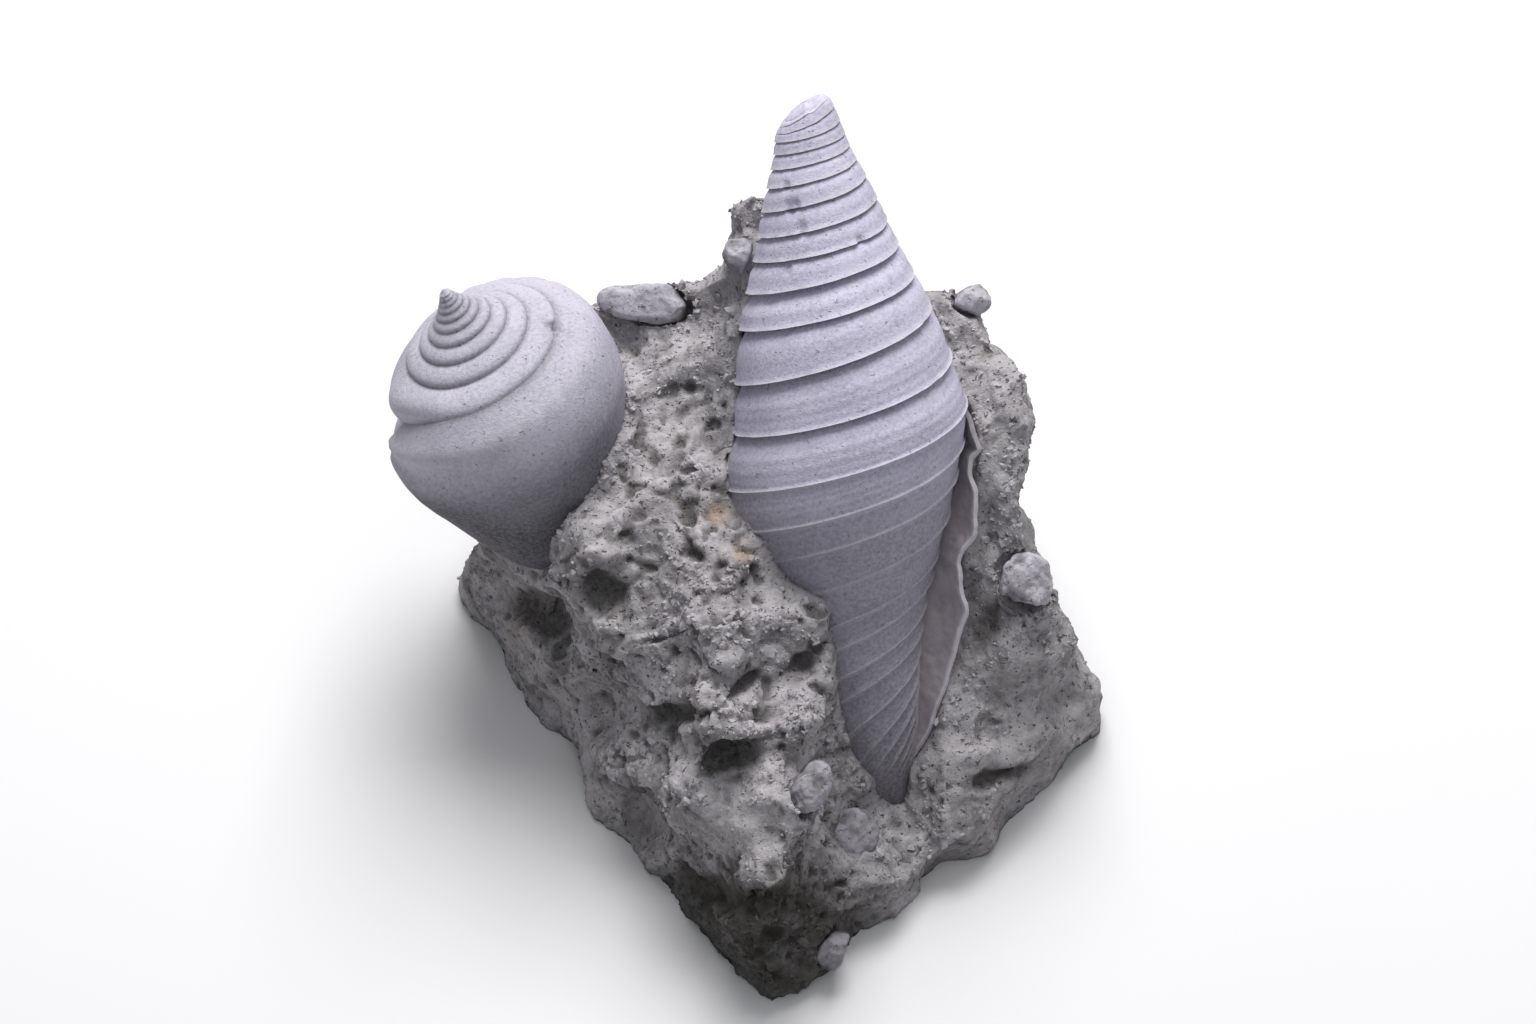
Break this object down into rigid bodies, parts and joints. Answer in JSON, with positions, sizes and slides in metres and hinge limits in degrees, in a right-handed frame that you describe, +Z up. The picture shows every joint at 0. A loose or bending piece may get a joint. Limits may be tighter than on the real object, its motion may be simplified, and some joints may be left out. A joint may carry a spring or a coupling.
{
  "type": "fossil sea snail shell block",
  "caption": "Loose block of shelly limestone with a large ribbed spindle shell and a small round moon snail type shell fixed in it, resting on a flat underside.",
  "frame": {"origin": "on the ground, under the middle of the whole block's box", "axes": "+Z up; -Y towards the viewer, with the block's near corner foremost; +X to the right"},
  "size_m": [0.105, 0.0955, 0.0885],
  "materials": {
    "limestone": "rough",
    "fossil_shell": "matt",
    "shell_fragments": "matt"
  },
  "bodies": {
    "root": {"limestone_matrix": "limestone", "spindle_shell": "fossil_shell", "moon_snail_shell": "fossil_shell", "shell_plate_fragment": "shell_fragments", "stone_chip_right": "shell_fragments", "shell_tooth_upper": "shell_fragments", "shell_tooth_lower": "shell_fragments", "shell_chip_near_corner": "shell_fragments", "shell_knob_far_right": "shell_fragments", "shell_flake_by_spire": "shell_fragments"}
  },
  "joints": []
}
